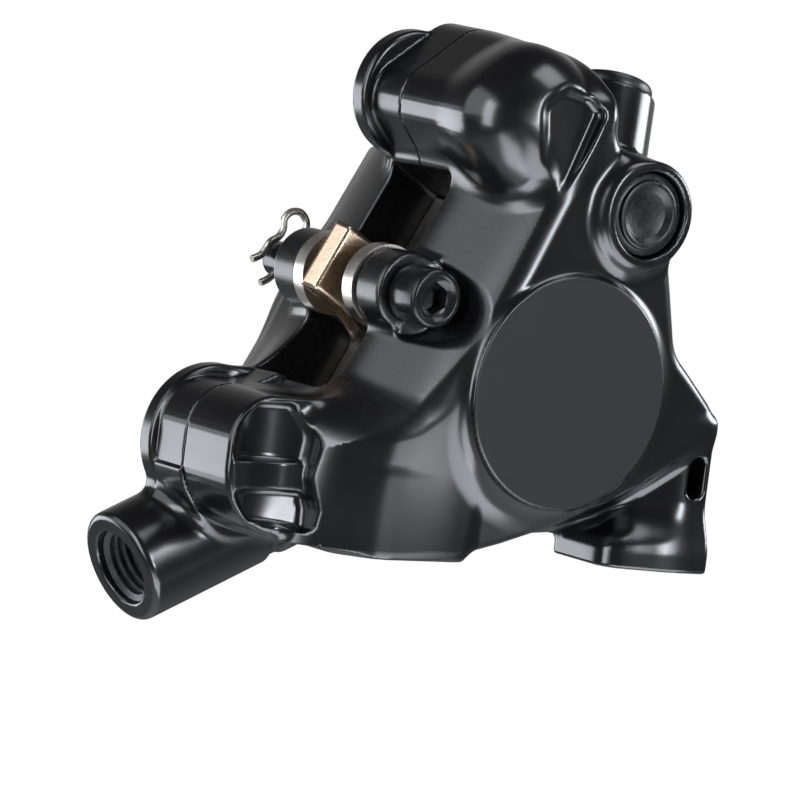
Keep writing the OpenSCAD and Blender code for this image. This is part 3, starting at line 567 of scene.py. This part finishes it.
# Valve cap with a raised ring round a flat centre
valve_cap = piece("valve_cap_ringed", *turned([
    (0, -9.45), (2.5, -9.45), (2.62, -9.5), (3.1, -9.95), (3.25, -10.02), (3.62, -10.02), (3.76, -9.95),
    (3.82, -9.8), (3.86, -9.6), (3.95, -9.55), (4.45, -9.55), (4.58, -9.45), (4.62, -9.2), (4.62, -7.9),
    (4.5, -7.72), (0, -7.72),
], (VALVE[0], 0, VALVE[1]), (0, 1, 0)), "valve_cap", "valve_cap", "rubber")

# Nipple cap with a rounded, slightly dished rim and a hollow skirt
nipple_cap = piece("bleed_nipple_cap_turned", *turned([
    (0, 13.7), (3.5, 13.72), (3.75, 13.8), (4.1, 13.98), (4.5, 13.99), (4.76, 13.88), (4.88, 13.62),
    (4.9, 13.0), (4.82, 12.7), (4.68, 12.63), (4.05, 12.62), (4.03, 8.65), (3.93, 8.52), (2.98, 8.52),
    (2.9, 8.62), (2.9, 12.8), (0, 12.88),
], NIPPLE_ROOT, NIPPLE_DIR), "bleed_nipple_cap", "bleed_nipple_cap", "rubber")

# Pad axle with a countersunk hexagon in its head
axle = piece("pad_axle_bolt", *turned([
    (0, -3.1), (hexagon(2.9), -3.3), (hexagon(3.0), -5.0), (hexagon(3.1), -5.12), (1.95, -5.2), (2.35, -5.5),
    (2.47, -5.61), (2.62, -5.65), (2.85, -5.65), (3.05, -5.58), (3.2, -5.4), (3.25, -5.15), (3.25, -1.35),
    (3.18, -1.1), (3.0, -0.95), (2.1, -0.95), (2.0, -0.85), (2.0, 24.6), (1.92, 24.9), (1.6, 25.25),
    (1.35, 25.35), (0, 25.35),
], at_core(AXLE[0], 0, AXLE[1]), (0, 1, 0)), "body", "pad_axle", "black_steel")

# Spring clip: a straight leg through the axle's tip, a loop, and a wavy leg over the tip
CLIP_Y = 23.75
clip_path = smooth_path([at_core(x, CLIP_Y + y, z) for x, y, z in (
    (-3.4, 0, 19.6), (-2.4, 0, 18.9), (-1.0, 0, 18.5), (1.0, 0, 18.45), (2.6, 0, 18.4), (4.0, 0, 17.85),
    (5.3, 0.2, 18.2), (5.85, 0.45, 19.3), (5.3, 0.6, 20.35), (4.2, 0.65, 20.65), (3.1, 0.5, 20.2),
    (2.1, 0.4, 20.3), (1.1, 0.3, 20.95), (0.1, 0.3, 21.05), (-0.8, 0.3, 21.2), (-1.8, 0.3, 21.95),
)], 8)
clip = piece("axle_spring_clip", *swept(clip_path, circle(0.42)), "body", "axle_clip", "plate_steel", 60)


def pad_spring():
    """The pad spring: a folded strip, flat and tilted on top, whose legs lean out a little to the pads."""
    bend, half, foot = 0.4, 0.95, 13.6
    sides = []
    for top, tilt in ((23.45, 0.4), (23.95, -0.35)):
        arc = np.linspace(tilt, math.pi / 2, 8)
        leg = [(half + bend * (math.sin(a) - 1), top + bend * (math.cos(a) - 1)) for a in arc]
        drops = ((2, 0.1), (4, 0.2), (6, 0.3), (7.5, 0.45), (9, 0.7))
        leg += [(half + lean, top - drop) for drop, lean in drops if top - drop > foot + 0.5]
        sides.append(leg + [(half + 0.9, foot)])
    section = [(-y, z) for y, z in sides[0][::-1]] + sides[1]
    peak = 23.75
    across = np.linspace(-1, 1, 15)
    points, faces = [], []
    for y, z in section:
        drop = peak - z
        half_w = 4.0 + 1.2 * (max(drop - 3.5, 0) / 6.6) ** 2
        points += [at_core(AXLE[0] + half_w * u, SEAM + y, z) for u in across]
    n = len(across)
    for i in range(len(section) - 1):
        faces += [(i * n + k, i * n + k + 1, (i + 1) * n + k + 1, (i + 1) * n + k) for k in range(n - 1)]
    made = piece("pad_spring_strip", points, faces, "body", "pad_spring", "spring_bronze", 60)
    sheet = made.modifiers.new("sheet", "SOLIDIFY")
    sheet.thickness = 0.4 * MM
    sheet.offset = 0
    return made


spring = pad_spring()

THREAD_PITCH = 1.0
THREAD_R = 3.98
THREAD_TURNS = 11


def thread():
    """The hose thread: a ridge wound along the wall of the port, its section square to the port's axis."""
    turns = np.linspace(0, THREAD_TURNS, THREAD_TURNS * 36)
    side, up = square_axes(-BARREL_DIR)
    points, faces = [], []
    for t in turns:
        outward = math.cos(2 * math.pi * t) * side + math.sin(2 * math.pi * t) * up
        place = BARREL_MOUTH - BARREL_DIR * (0.9 + THREAD_PITCH * t) + THREAD_R * outward
        for lift, run in ((-0.22, -0.5), (0.36, -0.1), (0.36, 0.1), (-0.22, 0.5)):
            points.append(place - outward * lift - BARREL_DIR * run)
    for i in range(len(turns) - 1):
        faces += [(i * 4 + k, i * 4 + (k + 1) % 4, i * 4 + 4 + (k + 1) % 4, i * 4 + 4 + k) for k in range(4)]
    faces += [(3, 2, 1, 0), tuple(range(len(points) - 4, len(points)))]
    return piece("hose_thread", points, faces, "body", None, "body_black", 30)


hose_thread = thread()


# Materials
class Look:
    """A material: a shader with its plain values set, and helpers that add nodes in front of it."""

    def __init__(self, name, colour, metallic, roughness, ior=1.5):
        self.material = bpy.data.materials.new(name)
        self.material.use_nodes = True
        self.tree = self.material.node_tree
        self.shader = self.tree.nodes["Principled BSDF"]
        self.shader.inputs["Base Color"].default_value = (*colour, 1)
        self.shader.inputs["Metallic"].default_value = metallic
        self.shader.inputs["Roughness"].default_value = roughness
        self.shader.inputs["IOR"].default_value = ior

    def node(self, kind, **inputs):
        """A new node, with its inputs linked to sockets or set to values."""
        made = self.tree.nodes.new("ShaderNode" + kind)
        for name, value in inputs.items():
            socket = made.inputs[name.replace("_", " ")]
            if isinstance(value, bpy.types.NodeSocket):
                self.tree.links.new(value, socket)
            else:
                socket.default_value = value
        return made

    def place(self, size, origin=(0, 0, 0)):
        """Places in the leaning frame, from an origin, in units of size, both in millimetres."""
        spot = self.node("Mapping", Vector=self.node("TexCoord").outputs["Object"])
        spot.vector_type = "TEXTURE"
        spot.inputs["Location"].default_value = [v * MM for v in origin]
        spot.inputs["Rotation"].default_value = (0, -LEAN, 0)
        spot.inputs["Scale"].default_value = [v * MM for v in size]
        return spot.outputs["Vector"]

    def grain(self, size, detail=3.0):
        """Noise with grains of a size in millimetres, along and across the caliper."""
        return self.node("TexNoise", Vector=self.place(size), Scale=1.0, Detail=detail).outputs["Fac"]

    def fade(self, value, start, end, low, high):
        """From low to high, as a value goes from start to end."""
        return self.node(
            "MapRange", Value=value, From_Min=start, From_Max=end, To_Min=low, To_Max=high
        ).outputs["Result"]

    def times(self, a, b):
        made = self.node("Math")
        made.operation = "MULTIPLY"
        self.tree.links.new(a, made.inputs[0])
        self.tree.links.new(b, made.inputs[1])
        return made.outputs[0]

    def mix(self, factor, first, second):
        made = self.node("MixRGB", Fac=factor, Color1=first, Color2=second)
        return made.outputs[0]

    def feed(self, name, value):
        self.tree.links.new(value, self.shader.inputs[name])

    def relief(self, height, depth):
        """Bumps of a depth in millimetres."""
        bump = self.node("Bump", Height=height, Distance=depth * MM, Strength=1.0)
        self.feed("Normal", bump.outputs["Normal"])


def body_paint():
    """Black paint: glossy on the cast forms, brushed on the slope under the deck, matte on the round face."""
    look = Look("black_body", (0.003, 0.003, 0.0036), 0.0, 0.18, 1.7)
    spot = look.node("SeparateXYZ", Vector=look.place((1, 1, 1), (CORE[0], 0, CORE[1])))
    x, y, z = (spot.outputs[k] for k in "XYZ")
    flat = look.node("CombineXYZ", X=x, Z=z)
    ring = look.node("VectorMath")
    ring.operation = "LENGTH"
    look.tree.links.new(flat.outputs[0], ring.inputs[0])
    face = look.times(look.fade(ring.outputs["Value"], 12.5, 12.75, 1, 0), look.fade(y, -9.85, -9.7, 1, 0))
    deck = look.times(look.fade(z, 11.5, 14.5, 0, 1), look.fade(x, 13.0, 16.0, 1, 0))
    deck = look.times(deck, look.fade(x, -16.0, -13.0, 0, 1))
    peel = look.grain((0.9, 0.9, 0.9), 2.0)
    cloud = look.grain((9, 9, 9))
    brushed = look.grain((0.25, 4.0, 4.0), 2.0)
    gloss = look.fade(cloud, 0.3, 0.7, 0.18, 0.24)
    satin = look.fade(brushed, 0.3, 0.7, 0.26, 0.31)
    rough = look.node("MapRange", Value=deck, To_Min=gloss, To_Max=satin).outputs["Result"]
    rough = look.node("MapRange", Value=face, To_Min=rough, To_Max=0.45).outputs["Result"]
    look.feed("Roughness", rough)
    look.feed("Specular IOR Level", look.fade(face, 0, 1, 0.5, 0.24))
    colour = look.mix(face, (0.003, 0.003, 0.0036, 1), (0.006, 0.006, 0.007, 1))
    speck = look.grain((0.12, 0.12, 0.12), 1.0)
    speck = look.fade(speck, 0.35, 0.75, 0.0, 0.2)
    look.feed("Base Color", look.mix(speck, colour, (0.009, 0.009, 0.0105, 1)))
    look.relief(look.mix(deck, peel, brushed), 0.0015)
    return look.material


def streaked(name, colour, light, metallic, rough, size, depth):
    """A drawn or brushed surface: fine streaks of a size in its colour, gloss and relief."""
    look = Look(name, colour, metallic, rough)
    streak = look.grain(size)
    cloud = look.grain((3, 3, 3))
    look.feed("Base Color", look.mix(look.fade(streak, 0.3, 0.7, 0, 1), (*colour, 1), (*light, 1)))
    look.feed("Roughness", look.fade(cloud, 0.3, 0.7, rough - 0.06, rough + 0.08))
    look.relief(streak, depth)
    return look.material


def speckled(name, colour, light, rough, size, share, depth):
    """A moulded or pressed surface with specks of a second colour."""
    look = Look(name, colour, 0.0, rough)
    speck = look.grain((size, size, size), 4.0)
    spots = look.fade(speck, 1 - share, 1.05 - share, 0, 1)
    look.feed("Base Color", look.mix(spots, (*colour, 1), (*light, 1)))
    cloud = look.grain((size * 6, size * 6, size * 6))
    look.feed("Roughness", look.fade(cloud, 0.3, 0.7, rough - 0.08, rough + 0.08))
    look.relief(speck, depth)
    return look.material


def dress(made, look):
    """A material put on a piece, in place of any it had."""
    made.data.materials.clear()
    made.data.materials.append(look)


black = body_paint()
oxide = streaked(
    "black_oxide", (0.005, 0.005, 0.006), (0.012, 0.012, 0.013), 0.2, 0.24, (0.3, 0.3, 0.3), 0.006
)
cut_metal = streaked("bare_thread", (0.05, 0.05, 0.053), (0.1, 0.1, 0.105), 0.8, 0.34, (2, 0.2, 0.2), 0.004)
silver = streaked("pad_steel", (0.52, 0.48, 0.43), (0.7, 0.66, 0.6), 1.0, 0.32, (0.15, 2.0, 1.2), 0.006)
wire = streaked("clip_wire", (0.52, 0.49, 0.44), (0.7, 0.67, 0.62), 1.0, 0.34, (1.5, 0.2, 0.2), 0.004)
bronze = streaked("spring_bronze", (0.62, 0.45, 0.31), (0.84, 0.67, 0.5), 1.0, 0.26, (0.12, 0.5, 0.5), 0.002)
rubber = speckled("rubber", (0.004, 0.004, 0.005), (0.008, 0.008, 0.009), 0.34, 0.1, 0.4, 0.006)
ceramic = speckled("piston_ceramic", (0.72, 0.7, 0.65), (0.6, 0.57, 0.52), 0.35, 0.25, 0.4, 0.003)
compound = speckled("lining_compound", (0.07, 0.06, 0.05), (0.3, 0.22, 0.13), 0.85, 0.35, 0.36, 0.04)
for made, look in (
    (near_half, black), (far_half, black), (valve_cap, rubber), (nipple_cap, rubber), (axle, oxide),
    (clip, wire), (spring, bronze), (hose_thread, cut_metal),
):
    dress(made, look)
for names, look in (
    (("body_bolts", "bleed_nipple", "valve_screw"), oxide),
    (("crossover_seal", "outboard_piston_seal", "inboard_piston_seal", "valve_screw_seal"), rubber),
    (("outboard_piston", "inboard_piston"), ceramic),
    (("outboard_pad_plate", "inboard_pad_plate"), silver),
    (("outboard_pad_lining", "inboard_pad_lining"), compound),
):
    for name in names:
        dress(nodes[name], look)
for name in ("outboard_pad_plate", "inboard_pad_plate"):
    rim = nodes[name].modifiers.new("rim", "BEVEL")
    rim.width = 0.3 * MM
    rim.segments = 3
    rim.limit_method = "ANGLE"
    rim.angle_limit = math.radians(40)
    rim.harden_normals = True


# Studio
MIDDLE = (-0.008, 0.0, 0.025)
LAMP_TINT = (0.9, 0.94, 1.0)
FLOOR_Z = -0.8
FLOOR_HALF = 9


def soft_box(name, place, size, power):
    """A lamp with a lit rectangle, turned to the caliper's middle."""
    lamp = bpy.data.lights.new(name, "AREA")
    lamp.shape = "RECTANGLE"
    lamp.size, lamp.size_y = size
    lamp.energy = power
    lamp.color = LAMP_TINT
    made = bpy.data.objects.new(name, lamp)
    made.location = place
    made.rotation_euler = (Vector(MIDDLE) - Vector(place)).to_track_quat("-Z", "Y").to_euler()
    bpy.context.scene.collection.objects.link(made)


soft_box("top", (0.26, -0.37, 0.78), (0.48, 0.48), 2.5)
soft_box("right", (0.84, -0.23, 0.22), (0.5, 0.24), 4.5)
soft_box("front", (-0.83, -0.29, 0.19), (0.3, 0.86), 5.0)
soft_box("crest", (0.18, -0.85, 0.22), (0.14, 0.46), 3.6)
soft_box("low", (0.135, -0.5, -0.42), (0.46, 0.5), 3.2)
soft_box("behind", (-0.42, 0.78, -0.13), (0.6, 0.4), 3.8)
soft_box("left", (-0.8, 0.2, 0.42), (0.95, 0.8), 3.6)
soft_box("low_left", (-0.25, -0.43, -0.47), (0.3, 0.36), 1.7)


def floor():
    """A floor that is white to the camera, with the object's shadow kept, and pale to everything else."""
    made = bpy.data.objects.new("floor", bpy.data.meshes.new("floor"))
    corners = [(a * FLOOR_HALF, b * FLOOR_HALF, FLOOR_Z) for a, b in ((-1, -1), (1, -1), (1, 1), (-1, 1))]
    made.data.from_pydata(corners, [], [(0, 1, 2, 3)])
    bpy.context.scene.collection.objects.link(made)
    look = Look("floor", (0.8, 0.8, 0.8), 0.0, 0.9)
    rays = look.node("LightPath")
    glow = look.fade(rays.outputs["Is Camera Ray"], 0, 1, 0, 0.95)
    look.shader.inputs["Emission Color"].default_value = (1, 1, 1, 1)
    look.feed("Emission Strength", glow)
    look.feed("Roughness", look.fade(look.grain((40, 40, 40)), 0.3, 0.7, 0.85, 0.95))
    dress(made, look.material)


floor()


def studio_world():
    """Pale behind the object, grey overhead and dark on the camera's side; white to the camera itself."""
    world = bpy.data.worlds.new("studio")
    world.use_nodes = True
    tree = world.node_tree
    tree.nodes.clear()
    output = tree.nodes.new("ShaderNodeOutputWorld")
    mix = tree.nodes.new("ShaderNodeMixShader")
    light_path = tree.nodes.new("ShaderNodeLightPath")
    white = tree.nodes.new("ShaderNodeBackground")
    white.inputs["Color"].default_value = (1, 1, 1, 1)
    room = tree.nodes.new("ShaderNodeBackground")
    way = tree.nodes.new("ShaderNodeTexCoord")
    shades = []
    for direction, low, high in (
        ((0.59, 0.8, -0.1), (0.5, 0.1), (0.95, 0.45)),
        ((0.0, 0.0, 1.0), (0.15, 1.0), (0.5, 0.6)),
    ):
        toward = tree.nodes.new("ShaderNodeVectorMath")
        toward.operation = "DOT_PRODUCT"
        toward.inputs[1].default_value = direction
        ramp = tree.nodes.new("ShaderNodeMapRange")
        for name, value in zip(("From Min", "To Min", "From Max", "To Max"), low + high):
            ramp.inputs[name].default_value = value
        tree.links.new(way.outputs["Generated"], toward.inputs[0])
        tree.links.new(toward.outputs["Value"], ramp.inputs["Value"])
        shades.append(ramp.outputs["Result"])
    level = tree.nodes.new("ShaderNodeMath")
    level.operation = "MULTIPLY"
    tree.links.new(shades[0], level.inputs[0])
    tree.links.new(shades[1], level.inputs[1])
    tree.links.new(level.outputs[0], room.inputs["Color"])
    tree.links.new(light_path.outputs["Is Camera Ray"], mix.inputs[0])
    tree.links.new(room.outputs[0], mix.inputs[1])
    tree.links.new(white.outputs[0], mix.inputs[2])
    tree.links.new(mix.outputs[0], output.inputs[0])
    bpy.context.scene.world = world


studio_world()

scene = bpy.context.scene
scene.view_settings.view_transform = "Standard"
lens = bpy.data.cameras.new("camera")
lens.lens = 324
lens.sensor_width = 36
lens.clip_start, lens.clip_end = 0.05, 20
camera = bpy.data.objects.new("camera", lens)
scene.collection.objects.link(camera)
right = Vector((0.806, -0.579, 0.126))
up = Vector((-0.041, 0.158, 0.987))
back = Vector((-0.591, -0.8, 0.104))
turn = Matrix((right, up, back)).transposed().to_4x4()
camera.matrix_world = Matrix.Translation((-0.4773, -0.6239, 0.0977)) @ turn
scene.camera = camera
